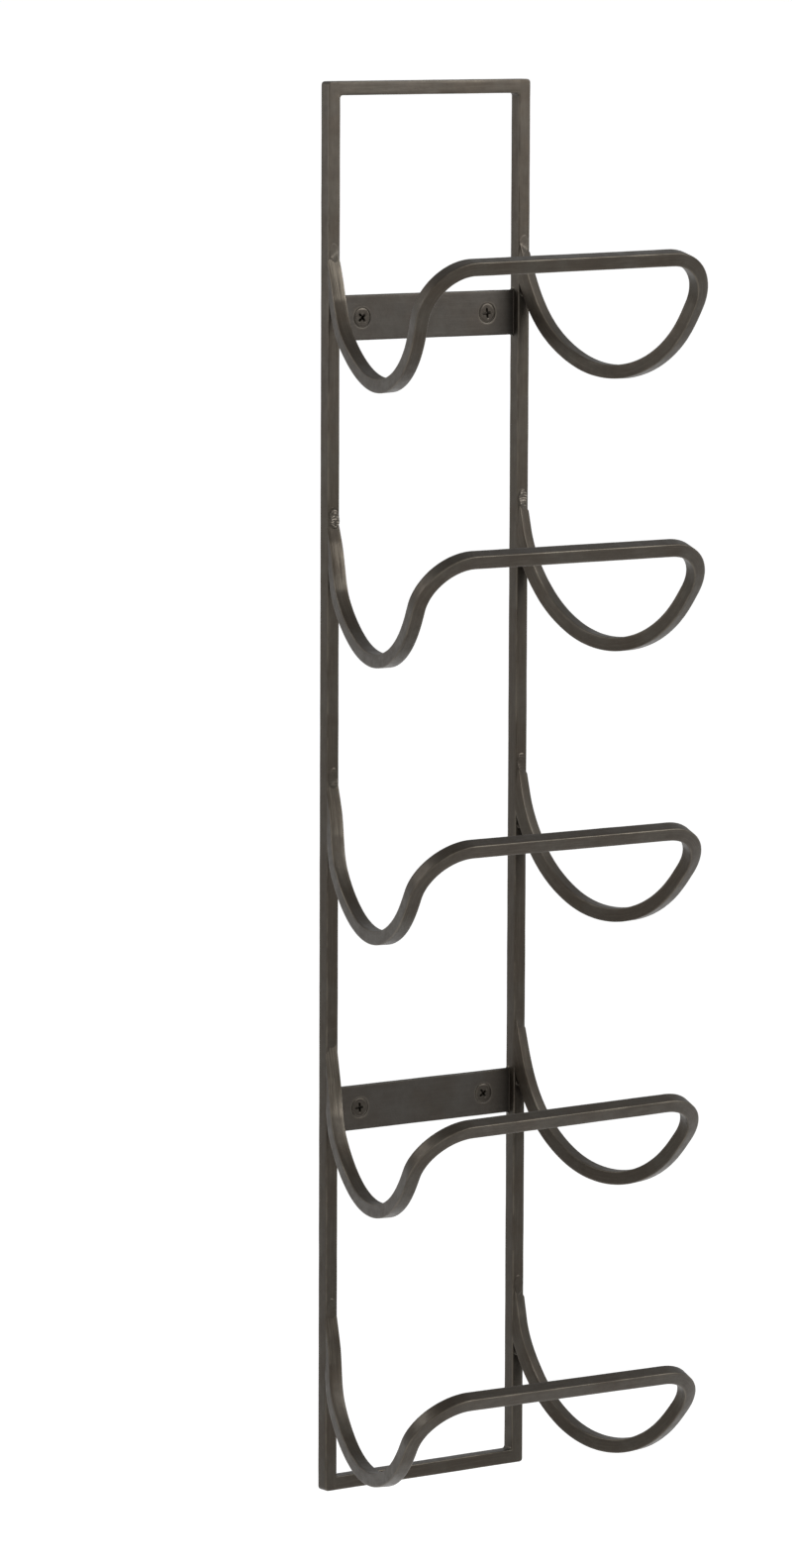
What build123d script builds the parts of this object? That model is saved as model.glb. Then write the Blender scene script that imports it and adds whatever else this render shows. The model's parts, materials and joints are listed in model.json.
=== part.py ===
"""Wall-hung wine rack: a welded ladder of square steel bar with five bent bottle cradles.

Millimetres. +X to the right, +Y into the wall, +Z up. The origin is the centre of the
four-screw pattern on the wall plane, so the wall is the plane y = 0.
"""

import os
from math import cos, radians, sin

from build123d import *

# Welded frame
RACK_HEIGHT = 612.0
RACK_WIDTH = 107.5
BAR = 6.0
BAR_EDGE_RADIUS = 0.5
FRAME_CORNER_RADIUS = 1.6
CORNER_WELD_LEG = 1.8

# Wall plates and their screws
PLATE_HEIGHT = 19.5
PLATE_THICKNESS = 2.5
PLATE_WELD_LEG = 1.5
PLATE_FRONT_WELD_LEG = 0.5
LOWER_PLATE_HEIGHT = 167.3
SCREW_SPACING_Z = 343.5
SCREW_SPACING_X = 67.0
SCREW_HEAD_RADIUS = 4.1
SCREW_NECK_RADIUS = 2.35
SCREW_SHANK_RADIUS = 2.1
SCREW_LENGTH = 25.4
SCREW_PLAIN_LENGTH = 8.0
SCREW_TIP_LENGTH = 4.0
THREAD_PITCH = 1.7
THREAD_DEPTH = 0.55
THREAD_CREST_RADIUS = 2.0
HEAD_RIM = 0.3
HEAD_CLEARANCE = 0.3
HOLE_CLEARANCE = 0.4
SEAT_CLEARANCE = 0.02
RECESS_RADIUS = 2.4
RECESS_DEPTH = 1.7
RECESS_SLOT = 1.15
RECESS_TURNS = {"upper": (42.0, 6.0), "lower": (3.0, 36.0)}

# Bottle cradle, one bar bent into an arm, a rail and a mirrored arm
ARM_SPREAD = 104.4
ARM_SPLAY = 13.1
ARM_START_LEAN = 14.6
ARM_START_OFFSET = -0.3
ARM_START_RUN = 7.5
ARM_BENDS = ((57.6, 57.0), (45.6, 135.2), (63.0, 142.1))
ARM_END_RUN = 3.9
ARM_MERGE_LEAN = 34.0
ARM_TOP_RUN = 60.0
CORNER_BEND_RADIUS = 20.8

# Where each cradle is welded: its height above the rack's foot, how far its
# front is tipped up, and how far its right end is tipped up, in degrees
CRADLE_SEATS = {
    "bottle_cradle_1": (524.9, 11.3, 0.8),
    "bottle_cradle_2": (412.8, 5.4, 0.0),
    "bottle_cradle_3": (297.7, 1.7, -0.1),
    "bottle_cradle_4": (182.3, 0.0, 0.6),
    "bottle_cradle_5": (64.3, 0.0, -0.5),
}

# How each cradle's arms meet the uprights, left then right: how far the joint's middle is
# above that height, and how far the arm leans from the upright there, in degrees
ARM_JOINTS = {
    "bottle_cradle_1": ((10.8, 20.0), (10.3, 20.5)),
    "bottle_cradle_2": ((1.8, 17.8), (3.0, 14.2)),
    "bottle_cradle_3": ((2.0, 15.0), (2.0, 15.0)),
    "bottle_cradle_4": ((-2.2, 10.0), (4.0, 16.0)),
    "bottle_cradle_5": ((0.5, 13.0), (0.5, 13.0)),
}
TOE_WELD_WIDTH = 4.2
TOE_WELD_HEIGHT = 9.0
TOE_WELD_PROUD = 1.1
TOE_WELD_LAP = 3.0
HEEL_WELD_HEIGHT = 5.0
HEEL_WELD_DEPTH = 2.2
CONTACT_DEPTH = 0.05
CARRY_STEPS = 24

# Worked out from the sizes above
FOOT = -(LOWER_PLATE_HEIGHT + SCREW_SPACING_Z / 2)
UPRIGHT_X = (RACK_WIDTH - BAR) / 2
INNER_X = RACK_WIDTH / 2 - BAR
FACE_Y = -BAR
SCREW_X = SCREW_SPACING_X / 2
PLATE_Z = {"upper": SCREW_SPACING_Z / 2, "lower": -SCREW_SPACING_Z / 2}
REACH = 400.0


def bar_section():
    """Square bar with its edges eased, drawn on the XY plane."""
    return RectangleRounded(BAR, BAR, BAR_EDGE_RADIUS)


def frame_outline():
    """Slab with the frame's rounded outer outline, which trims the bars' outer corners."""
    face = Plane.XZ * RectangleRounded(RACK_WIDTH, RACK_HEIGHT, FRAME_CORNER_RADIUS)
    slab = extrude(face, amount=BAR * 2, both=True)
    return Pos(0, 0, FOOT + RACK_HEIGHT / 2) * slab


def left_upright():
    """Full-height square bar at the rack's left."""
    bar = extrude(bar_section(), amount=RACK_HEIGHT)
    return (Pos(-UPRIGHT_X, FACE_Y / 2, FOOT) * bar) & frame_outline()


def crossbar(height, uprights):
    """Square bar between the uprights, coped so that its faces end flush on theirs."""
    length = 2 * (INNER_X + BAR_EDGE_RADIUS)
    bar = extrude(Plane.YZ * bar_section(), amount=length / 2, both=True)
    return Pos(0, FACE_Y / 2, height) * bar - uprights


def countersink():
    """Hole for one screw: clear of its shank, coned to its head, with a loose mouth."""
    shank = Cylinder(SCREW_SHANK_RADIUS + HOLE_CLEARANCE, PLATE_THICKNESS * 3)
    cone_depth = SCREW_HEAD_RADIUS - SCREW_SHANK_RADIUS
    wide = SCREW_HEAD_RADIUS + SEAT_CLEARANCE
    cone = Cone(wide - cone_depth, wide, cone_depth)
    mouth = Cylinder(SCREW_HEAD_RADIUS + HEAD_CLEARANCE, HEAD_RIM * 2)
    return shank + Pos(0, 0, -HEAD_RIM - cone_depth / 2) * cone + mouth


def wall_plate(level, uprights):
    """Flat strip with two countersunk holes, flush with the backs of the uprights."""
    length = 2 * (INNER_X + BAR_EDGE_RADIUS)
    strip = Pos(0, -PLATE_THICKNESS / 2, 0) * Box(length, PLATE_THICKNESS, PLATE_HEIGHT)
    for x in (-SCREW_X, SCREW_X):
        strip -= Pos(x, -PLATE_THICKNESS, 0) * Rot(90, 0, 0) * countersink()
    return Pos(0, 0, PLATE_Z[level]) * strip - uprights


def screw_profile():
    """Half outline of the screw in its own frame: head at z = 0, point at z = -length."""
    core = SCREW_SHANK_RADIUS - THREAD_DEPTH
    neck = -HEAD_RIM - (SCREW_HEAD_RADIUS - SCREW_NECK_RADIUS)
    points = [
        (0, 0),
        (SCREW_HEAD_RADIUS, 0),
        (SCREW_HEAD_RADIUS, -HEAD_RIM),
        (SCREW_NECK_RADIUS, neck),
        (SCREW_NECK_RADIUS, -PLATE_THICKNESS),
        (SCREW_SHANK_RADIUS, -PLATE_THICKNESS),
        (SCREW_SHANK_RADIUS, -SCREW_PLAIN_LENGTH),
    ]
    depth = SCREW_PLAIN_LENGTH
    while depth + THREAD_PITCH < SCREW_LENGTH - SCREW_TIP_LENGTH:
        points.append((core, -depth - THREAD_PITCH * 0.3))
        points.append((core, -depth - THREAD_PITCH * 0.6))
        points.append((THREAD_CREST_RADIUS, -depth - THREAD_PITCH * 0.9))
        points.append((THREAD_CREST_RADIUS, -depth - THREAD_PITCH))
        depth += THREAD_PITCH
    points.append((core, -depth - THREAD_PITCH * 0.3))
    points.append((core, -SCREW_LENGTH + SCREW_TIP_LENGTH))
    points.append((0, -SCREW_LENGTH))
    return make_face(Polyline(*points, close=True))


def cross_recess():
    """Four-armed driver recess that narrows with depth, opening at z = 0."""
    cone = Cone(RECESS_SLOT / 2, RECESS_RADIUS, RECESS_DEPTH)
    cone = Pos(0, 0, -RECESS_DEPTH / 2) * cone
    bar = Box(RECESS_RADIUS * 2, RECESS_SLOT, RECESS_DEPTH * 3)
    return cone & (bar + Rot(0, 0, 90) * bar)


def wall_screws(level):
    """The two countersunk wood screws of one plate, driven to slightly different turns."""
    blank = revolve(Plane.XZ * screw_profile(), Axis.Z)
    screws = []
    for x, turn in zip((-SCREW_X, SCREW_X), RECESS_TURNS[level]):
        screw = blank - Rot(0, 0, turn) * cross_recess()
        screws.append(Pos(x, -PLATE_THICKNESS, PLATE_Z[level]) * Rot(90, 0, 0) * screw)
    return Compound(children=screws)


def arm_heading(angle, splay=ARM_SPLAY):
    """Direction in an arm's splayed plane at this turn from straight down."""
    forward = Vector(-sin(radians(splay)), -cos(radians(splay)), 0)
    return forward * sin(radians(angle)) - Vector(0, 0, cos(radians(angle)))


def bend(start, heading, centre, angle):
    """Tangent arc about a centre; gives the arc, where it ends and the heading there."""
    axis = Axis((0, 0, 0), heading.cross(centre - start))
    spoke = start - centre
    middle = centre + spoke.rotate(axis, angle / 2)
    end = centre + spoke.rotate(axis, angle)
    return ThreePointArc(start, middle, end), end, heading.rotate(axis, angle)


def turn_towards(start, heading, target, radius):
    """Tangent arc that turns heading until it points along target."""
    inward = (target - heading * heading.dot(target)).normalized()
    return bend(start, heading, start + inward * radius, heading.get_angle(target))


def arm_entry(rise, top_lean):
    """Edges from above the left mitre, in line with the upright, into the first bend."""
    start = Vector(-ARM_SPREAD / 2, 0, 0) + arm_heading(90) * ARM_START_OFFSET
    start += arm_heading(ARM_START_LEAN) * ARM_START_RUN
    centre = start + arm_heading(ARM_START_LEAN + 90) * ARM_BENDS[0][0]
    turn = ARM_MERGE_LEAN - ARM_START_LEAN
    _, merge, heading = bend(start, arm_heading(ARM_START_LEAN), centre, turn)
    joint = Vector(-UPRIGHT_X, 0, rise)
    top_heading = arm_heading(top_lean, 0)
    ease = (merge - joint).length / 3
    blend = Bezier(joint, joint + top_heading * ease, merge - heading * ease, merge)
    return [Line(joint - top_heading * ARM_TOP_RUN, joint), blend]


def arm_path(rise, top_lean):
    """Centre line from above the left mitre, round the U and the corner, to mid rail."""
    edges = arm_entry(rise, top_lean)
    angle = ARM_MERGE_LEAN
    end, heading = edges[-1] @ 1, arm_heading(angle)
    for radius, next_angle in ARM_BENDS:
        centre = end + arm_heading(angle + 90) * radius
        edge, end, heading = bend(end, heading, centre, next_angle - angle)
        edges.append(edge)
        angle = next_angle
    edges.append(Line(end, end + heading * ARM_END_RUN))
    end += heading * ARM_END_RUN
    edge, end, heading = turn_towards(end, heading, Vector(1, 0, 0), CORNER_BEND_RADIUS)
    edges.append(edge)
    edges.append(Line(end, Vector(0, end.Y, end.Z)))
    return edges


def carried_back(across, curve):
    """Sideways direction at a curve's start that reaches its end as across, untwisted."""
    heading = curve % 1
    for step in range(CARRY_STEPS - 1, -1, -1):
        earlier = curve % (step / CARRY_STEPS)
        axis = Axis((0, 0, 0), heading.cross(earlier))
        across = across.rotate(axis, heading.get_angle(earlier))
        heading = earlier
    return across


def half_bar(rise, top_lean):
    """Left half of a cradle's bar before its end is mitred, with its seat at z = 0."""
    edges = arm_path(rise, top_lean)
    across = carried_back(arm_heading(0).cross(arm_heading(90)), edges[1])
    section = Plane(origin=edges[0] @ 0, x_dir=across, z_dir=edges[0] % 0) * bar_section()
    return sweep(section, path=Wire(edges))


def bent_bar(name):
    """A cradle's whole bar, whose two arms were set to the uprights by hand."""
    lean = CRADLE_SEATS[name][1]
    left, right = [half_bar(rise, tilt - lean) for rise, tilt in ARM_JOINTS[name]]
    return left + mirror(right, about=Plane.YZ)


def bottle_cradle(name):
    """Bent bar tipped as it is welded, with its ends mitred on the uprights' faces."""
    height, lean, right_end_up = CRADLE_SEATS[name]
    turned = Rot(0, -right_end_up, 0) * Rot(-lean, 0, 0) * bent_bar(name)
    cradle = Pos(0, FACE_Y, FOOT + height) * turned
    return cradle - Pos(0, FACE_Y + REACH / 2, 0) * Box(REACH, REACH, REACH * 2)


def joint_span(cradle, side):
    """Lowest and highest point of one arm's mitred face on its upright."""
    slab = Pos(side * REACH / 2, FACE_Y, 0) * Box(REACH, CONTACT_DEPTH * 2, REACH * 2)
    box = (cradle & slab).bounding_box()
    return box.min.Z, box.max.Z


def cradle_welds(cradle):
    """Toe weld run over each mitre's tip and heel weld in the crook below it."""
    welds = []
    for side in (-1, 1):
        crook, tip = joint_span(cradle, side)
        toe = Pos(side * UPRIGHT_X, FACE_Y, tip + TOE_WELD_HEIGHT / 2 - TOE_WELD_LAP) * toe_bead()
        heel = Pos(side * UPRIGHT_X, FACE_Y, crook) * heel_bead()
        welds += [largest(toe - cradle), largest(heel - cradle)]
    return Compound(children=welds)


def toe_bead():
    """Low ground-down lens of weld metal lying on an upright's front face."""
    half_size = (TOE_WELD_WIDTH / 2, TOE_WELD_PROUD, TOE_WELD_HEIGHT / 2)
    return scale(Sphere(1), by=half_size) & Pos(0, -BAR, 0) * Box(BAR * 2, BAR * 2, BAR * 4)


def heel_bead():
    """Block of weld metal that, cut by the arm, leaves the wedge in its crook."""
    block = Box(TOE_WELD_WIDTH, HEEL_WELD_DEPTH, HEEL_WELD_HEIGHT)
    return Pos(0, -HEEL_WELD_DEPTH / 2, 0) * block


def largest(solid):
    """The biggest piece of a cut solid."""
    return max(solid.solids(), key=lambda piece: piece.volume)


def fillet_bead(leg, length):
    """Hollow-faced bead for an inside corner, along Y, with its corner at the origin."""
    face = Plane.XZ * (Pos(leg / 2, leg / 2) * Rectangle(leg, leg) - Pos(leg, leg) * Circle(leg))
    return extrude(face, amount=length / 2, both=True)


def frame_welds():
    """One bead in each inside corner of the frame."""
    bead = fillet_bead(CORNER_WELD_LEG, BAR - 2 * BAR_EDGE_RADIUS)
    corner = Pos(-INNER_X, FACE_Y / 2, FOOT + BAR) * bead
    pair = [corner, mirror(corner, about=Plane.YZ)]
    middle = Plane.XY.offset(FOOT + RACK_HEIGHT / 2)
    return Compound(children=pair + [mirror(bead, about=middle) for bead in pair])


def plate_welds(level):
    """Beads round each end of a plate: across its front, over its top and under its foot."""
    flat = PLATE_THICKNESS - BAR_EDGE_RADIUS
    middle = -BAR_EDGE_RADIUS - flat / 2
    edge_bead = fillet_bead(PLATE_WELD_LEG, flat)
    top = Pos(-INNER_X, middle, PLATE_HEIGHT / 2) * edge_bead
    front = Rot(90, 0, 0) * fillet_bead(PLATE_FRONT_WELD_LEG, PLATE_HEIGHT)
    front = Pos(-INNER_X, -PLATE_THICKNESS, 0) * front
    left = [top, mirror(top, about=Plane.XY), front]
    right = [mirror(bead, about=Plane.YZ) for bead in left]
    return Pos(0, 0, PLATE_Z[level]) * Compound(children=left + right)


def main():
    os.makedirs("parts", exist_ok=True)
    parts = {"left_upright": left_upright()}
    parts["right_upright"] = mirror(parts["left_upright"], about=Plane.YZ)
    uprights = parts["left_upright"] + parts["right_upright"]
    parts["top_crossbar"] = crossbar(FOOT + RACK_HEIGHT - BAR / 2, uprights)
    parts["bottom_crossbar"] = crossbar(FOOT + BAR / 2, uprights)
    parts["frame_welds"] = frame_welds()
    for level in PLATE_Z:
        parts[level + "_wall_plate"] = wall_plate(level, uprights)
        parts[level + "_plate_welds"] = plate_welds(level)
        parts[level + "_wall_screws"] = wall_screws(level)
    for name in CRADLE_SEATS:
        parts[name] = bottle_cradle(name)
        parts[name.replace("bottle_cradle", "cradle_welds")] = cradle_welds(parts[name])
    for name, solid in parts.items():
        export_step(solid, f"parts/{name}.step")


main()
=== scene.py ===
import json
from math import ceil, cos, pi, radians, sin, sqrt, tau

import bpy
import bmesh
import numpy as np
from mathutils import Matrix, Vector, noise
from mathutils.bvhtree import BVHTree


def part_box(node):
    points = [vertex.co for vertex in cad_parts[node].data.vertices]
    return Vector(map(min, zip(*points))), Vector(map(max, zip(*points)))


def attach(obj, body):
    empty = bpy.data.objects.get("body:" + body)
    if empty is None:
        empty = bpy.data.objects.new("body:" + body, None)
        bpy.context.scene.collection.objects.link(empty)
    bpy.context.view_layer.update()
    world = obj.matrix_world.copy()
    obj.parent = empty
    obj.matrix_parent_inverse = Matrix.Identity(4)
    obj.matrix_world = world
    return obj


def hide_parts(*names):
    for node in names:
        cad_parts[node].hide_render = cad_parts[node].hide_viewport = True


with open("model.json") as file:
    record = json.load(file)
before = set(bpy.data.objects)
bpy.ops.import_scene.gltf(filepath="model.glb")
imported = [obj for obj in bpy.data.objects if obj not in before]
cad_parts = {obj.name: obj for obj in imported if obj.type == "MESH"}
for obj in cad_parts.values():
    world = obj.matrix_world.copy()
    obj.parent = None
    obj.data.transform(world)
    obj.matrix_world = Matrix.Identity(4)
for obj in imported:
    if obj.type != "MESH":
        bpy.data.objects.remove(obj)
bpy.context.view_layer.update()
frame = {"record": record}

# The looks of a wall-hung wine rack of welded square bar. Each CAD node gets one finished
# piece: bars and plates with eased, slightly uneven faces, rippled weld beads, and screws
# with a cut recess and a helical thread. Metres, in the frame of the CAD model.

MM = 0.001

# Places read from the CAD model
left_low, left_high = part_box("left_upright")
FOOT = left_low.z
TOP = left_high.z
FACE_Y = left_low.y
INNER_X = -left_high.x
BAR = left_high.x - left_low.x
UPRIGHT_X = INNER_X + BAR / 2

# Sizes shared with the CAD source
EDGE = 0.5 * MM
FRAME_CORNER = 1.6 * MM
CORNER_WELD_LEG = 1.8 * MM
PLATE_WELD_LEG = 1.5 * MM
PLATE_FRONT_WELD_LEG = 0.5 * MM
SCREW_HEAD_RADIUS = 4.1 * MM
SCREW_NECK_RADIUS = 2.35 * MM
SCREW_SHANK_RADIUS = 2.1 * MM
SCREW_LENGTH = 25.4 * MM
SCREW_PLAIN_LENGTH = 8.0 * MM
SCREW_TIP_LENGTH = 4.0 * MM
THREAD_PITCH = 1.7 * MM
THREAD_DEPTH = 0.55 * MM
HEAD_RIM = 0.3 * MM
HEAD_CLEARANCE = 0.3 * MM
HOLE_CLEARANCE = 0.4 * MM
SEAT_CLEARANCE = 0.02 * MM
RECESS_RADIUS = 2.4 * MM
RECESS_DEPTH = 1.7 * MM
RECESS_SLOT = 1.15 * MM
RECESS_TURNS = {"upper": (42.0, 6.0), "lower": (3.0, 36.0)}

# Bottle cradles, with each bend as (radius, turn from straight down that it ends at)
ARM_SPREAD = 104.4 * MM
ARM_SPLAY = 13.1
ARM_START_LEAN = 14.6
ARM_START_OFFSET = -0.3 * MM
ARM_START_RUN = 7.5 * MM
ARM_BENDS = ((57.6 * MM, 57.0), (45.6 * MM, 135.2), (63.0 * MM, 142.1))
ARM_END_RUN = 3.9 * MM
ARM_MERGE_LEAN = 34.0
ARM_TOP_RUN = 60.0 * MM
CORNER_BEND_RADIUS = 20.8 * MM
# Where each is welded: its height above the foot, how far its front is tipped up, and how
# far its right end is tipped up
CRADLE_SEATS = {
    "bottle_cradle_1": (524.9 * MM, 11.3, 0.8),
    "bottle_cradle_2": (412.8 * MM, 5.4, 0.0),
    "bottle_cradle_3": (297.7 * MM, 1.7, -0.1),
    "bottle_cradle_4": (182.3 * MM, 0.0, 0.6),
    "bottle_cradle_5": (64.3 * MM, 0.0, -0.5),
}
# How its arms meet the uprights, left then right: how far the joint's middle is above that
# height, and the arm's lean there
ARM_JOINTS = {
    "bottle_cradle_1": ((10.8 * MM, 20.0), (10.3 * MM, 20.5)),
    "bottle_cradle_2": ((1.8 * MM, 17.8), (3.0 * MM, 14.2)),
    "bottle_cradle_3": ((2.0 * MM, 15.0), (2.0 * MM, 15.0)),
    "bottle_cradle_4": ((-2.2 * MM, 10.0), (4.0 * MM, 16.0)),
    "bottle_cradle_5": ((0.5 * MM, 13.0), (0.5 * MM, 13.0)),
}

# How the toe welds were left: (height over the bars, how rippled), left then right
TOE_WELDS = {
    "bottle_cradle_1": ((0.04 * MM, 0.0), (0.06 * MM, 0.1)),
    "bottle_cradle_2": ((0.80 * MM, 1.0), (0.45 * MM, 0.9)),
    "bottle_cradle_3": ((0.25 * MM, 0.5), (0.25 * MM, 0.6)),
    "bottle_cradle_4": ((0.08 * MM, 0.1), (0.08 * MM, 0.2)),
    "bottle_cradle_5": ((0.25 * MM, 0.5), (0.25 * MM, 0.4)),
}
# Where a grinder brightened each arm's front, left then right: from and to this far below
# the joint's tip, and how brightly
GROUND_PATCHES = {
    "bottle_cradle_1": ((0.0 * MM, 22.0 * MM, 0.85), (-4.0 * MM, 3.0 * MM, 0.3)),
    "bottle_cradle_2": ((10.0 * MM, 34.0 * MM, 0.6), (-2.0 * MM, 14.0 * MM, 0.35)),
    "bottle_cradle_3": ((2.0 * MM, 26.0 * MM, 0.5), (0.0 * MM, 15.0 * MM, 0.4)),
    "bottle_cradle_4": ((0.0 * MM, 36.0 * MM, 0.6), (2.0 * MM, 24.0 * MM, 0.35)),
    "bottle_cradle_5": ((2.0 * MM, 26.0 * MM, 0.5), (0.0 * MM, 15.0 * MM, 0.4)),
}
PATCH_EDGE = 3.0 * MM
PATCH_BLOTCH_RATE = 110

# Toe beads, over the mitres' tips. Each wave is (how many to the metre, how high)
WELD_RIPPLE = 1.15 * MM
TOE_ABOVE = 4.5 * MM
TOE_BELOW = 5.0 * MM
TOE_SIDE_MARGIN = 0.1 * MM
TOE_DEPTH = 0.4 * MM
TOE_STEEPNESS = 2.2
TOE_RIM_SINK = 1.5
TOE_RIM_WAVE = (420, 0.25)
TOE_LUMP_WAVE = (430, 0.7)
TOE_RIPPLE_WAVE = (260, 0.3 * MM)
TOE_RIPPLE_BOW = 0.12
TOE_RIPPLE_HEIGHT = 0.12
TOE_GRID = (26, 60)
CREASE_ROUNDS = 40
GAP_DEPTH = 1.5 * MM
RAY_START = 40 * MM

# Heel beads, in the crooks behind the arms
HEEL_HALF_WIDTH = 2.3 * MM
HEEL_RADIUS = 0.45 * MM
HEEL_TALLNESS = 2.4
HEEL_DROP = 1.2 * MM
HEEL_INSET = 0.2 * MM
HEEL_RIPPLE = 0.9 * MM
HEEL_WANDER = 0.25 * MM
HEEL_RINGS = 30
HEEL_SIDES = 14

# Seam beads, in the frame's corners and round the plates' ends
CORNER_WELD_INSET = 0.25 * MM
SEAM_STEP = 0.2 * MM
SEAM_SIDES = 9
SEAM_END = 0.9 * MM
SEAM_END_THINNING = 0.45
SEAM_ROOT = 0.2 * MM
SEAM_TUCK = 0.03 * MM
SEAM_RIPPLE = 0.05 * MM
SEAM_RIPPLE_BOW = 0.35 * MM
SEAM_WAVE = (700, 0.10)

# Plates and screws
PLATE_BROKEN_EDGE = 0.35 * MM
HOLE_CELL = 6.0 * MM
HOLE_CELL_PARTS = 12
PLATE_END_PARTS = 8
PLATE_MIDDLE_PARTS = 52
RIM_INSET = 0.12 * MM
NECK_END = 2.4 * MM
SHANK_START = 2.6 * MM
SCREW_SIDES = 32
THREAD_ROWS = 12

# Mesh fineness and the hand-worked unevenness of the metal
RING_STEP = 1.5 * MM
STATION = 0.25 * MM
END_RINGS = 8
MITRE_RINGS = 18
MITRE_LENGTH = 3 * MM
SIDE = 8
SECTION = 4 * SIDE
FRONT_LINES = range(2 * SIDE, 3 * SIDE + 1)
EMBED = 0.05 * MM
SHARP_ANGLE = radians(40)
# Waves, as (how many to the metre, how high)
SLOW_WAVE = (70.0, 0.055 * MM)
QUICK_WAVE = (310.0, 0.018 * MM)


def eased(distance, radius):
    """How far a rounded edge has fallen away at this distance from the corner it rounds."""
    if distance >= radius:
        return 0.0
    return radius - sqrt(max(0.0, radius**2 - (radius - max(distance, 0.0)) ** 2))


def rounded_section(a0, a1, b0, b1, radius):
    """Points round a rectangle with round corners, SIDE to a side, from mid corner."""
    centres = [
        (a1 - radius, b1 - radius),
        (a0 + radius, b1 - radius),
        (a0 + radius, b0 + radius),
        (a1 - radius, b0 + radius),
    ]
    points = []
    for quarter, (a, b) in enumerate(centres):
        next_a, next_b = centres[(quarter + 1) % 4]
        turn = quarter * pi / 2
        for part in (0.5, 0.75):
            angle = turn + part * pi / 2
            points.append((a + radius * cos(angle), b + radius * sin(angle)))
        out_a = radius * cos(turn + pi / 2)
        out_b = radius * sin(turn + pi / 2)
        for part in (0.0, 0.25, 0.5, 0.75, 1.0):
            points.append((a + (next_a - a) * part + out_a, b + (next_b - b) * part + out_b))
        angle = turn + 1.25 * pi / 2
        points.append((next_a + radius * cos(angle), next_b + radius * sin(angle)))
    return points


BAR_SECTION = rounded_section(-BAR / 2, BAR / 2, -BAR / 2, BAR / 2, EDGE)

# How lightened each of a bar's long lines is, from mid corner to the next, four times round: partly
# rubbed wear, partly a painted highlight along the rounded edges
EDGE_WEAR_AND_SHEEN = [1.0, 0.85, 0.4, 0.05, 0.0, 0.05, 0.4, 0.85] * 4


class Shell:
    """Points and faces of one piece, with what its finish needs to know at each point.

    grain is the point's place in the bar before it was bent, so that the drawn streaks
    follow the bends. The wear share is 1 on a rubbed edge, and it also carries painted
    highlights on the bars' edges and on weld crests. ground is 1 where a grinder went; on the
    toe beads it carries a painted sheen instead.
    """

    def __init__(self):
        self.points = []
        self.faces = []
        self.grain = []
        self.wear_and_sheen = []
        self.ground = []

    def add(self, point, grain, wear_and_sheen=0.0, ground=0.0):
        self.points.append(tuple(point))
        self.grain.append(tuple(grain))
        self.wear_and_sheen.append(wear_and_sheen)
        self.ground.append(ground)
        return len(self.points) - 1

    def ring(self, points, grains, wear_and_sheen_values=None, grounds=None):
        wear_and_sheen_values = wear_and_sheen_values or [0.0] * len(points)
        grounds = grounds or [0.0] * len(points)
        return [self.add(*values) for values in zip(points, grains, wear_and_sheen_values, grounds)]

    def join(self, first, second):
        """Quads between two rings of equal length."""
        count = len(first)
        for j in range(count):
            k = (j + 1) % count
            self.faces.append((first[j], first[k], second[k], second[j]))

    def fan(self, ring):
        """Closes a small ring with triangles round its middle."""
        middle = np.mean([self.points[i] for i in ring], axis=0)
        grain = np.mean([self.grain[i] for i in ring], axis=0)
        hub = self.add(middle, grain, self.wear_and_sheen[ring[0]], self.ground[ring[0]])
        for j in range(len(ring)):
            self.faces.append((ring[j], ring[(j + 1) % len(ring)], hub))

    def cap(self, ring):
        """Closes a bar's end with a square grid of quads whose rim is the ring."""
        rim = {}
        for k in range(SIDE):
            rim[(SIDE - k, SIDE)] = ring[k]
            rim[(0, SIDE - k)] = ring[SIDE + k]
            rim[(k, 0)] = ring[2 * SIDE + k]
            rim[(SIDE, k)] = ring[3 * SIDE + k]
        grid = dict(rim)
        for i in range(1, SIDE):
            for j in range(1, SIDE):
                grid[(i, j)] = self.coons_point(rim, i / SIDE, j / SIDE, i, j)
        for i in range(SIDE):
            for j in range(SIDE):
                corners = [(i, j), (i + 1, j), (i + 1, j + 1), (i, j + 1)]
                self.faces.append(tuple(grid[corner] for corner in corners))

    def coons_point(self, rim, u, v, i, j):
        """A point inside a cap, blended from the four sides of its rim."""
        def blend(values):
            at = {key: np.array(values[index]) for key, index in rim.items()}
            across = (1 - u) * at[(0, j)] + u * at[(SIDE, j)]
            sides = across + (1 - v) * at[(i, 0)] + v * at[(i, SIDE)]
            low = (1 - u) * at[(0, 0)] + u * at[(SIDE, 0)]
            high = (1 - u) * at[(0, SIDE)] + u * at[(SIDE, SIDE)]
            return sides - (1 - v) * low - v * high
        return self.add(blend(self.points), blend(self.grain))

    def sleeve(self, rings):
        """Quads along a row of rings."""
        for first, second in zip(rings[:-1], rings[1:]):
            self.join(first, second)

    def tube(self, rings):
        """A bar along a row of rings, with square-gridded ends."""
        self.sleeve(rings)
        self.cap(rings[0])
        self.cap(rings[-1])

    def spindle(self, rings):
        """A bead or a screw along a row of rings, with small round ends."""
        self.sleeve(rings)
        self.fan(rings[0])
        self.fan(rings[-1])


def wave(rate_and_height, point):
    """Smooth noise of this many waves to the metre and this height."""
    rate, height = rate_and_height
    return height * noise.noise(point * rate)


def uneven(point):
    """Height of the hand-worked surface over its true one, at a place in space."""
    return wave(SLOW_WAVE, point) + wave(QUICK_WAVE, point)


def roughen(mesh):
    """Moves each point along its normal, so that no face is perfectly flat."""
    normals = [vertex.normal.copy() for vertex in mesh.vertices]
    for vertex, normal in zip(mesh.vertices, normals):
        vertex.co += normal * uneven(vertex.co)


def store(mesh, name, kind, values):
    layer = mesh.attributes.new(name, kind, "POINT")
    key = "vector" if kind == "FLOAT_VECTOR" else "value"
    layer.data.foreach_set(key, np.array(values, np.float32).ravel())


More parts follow.
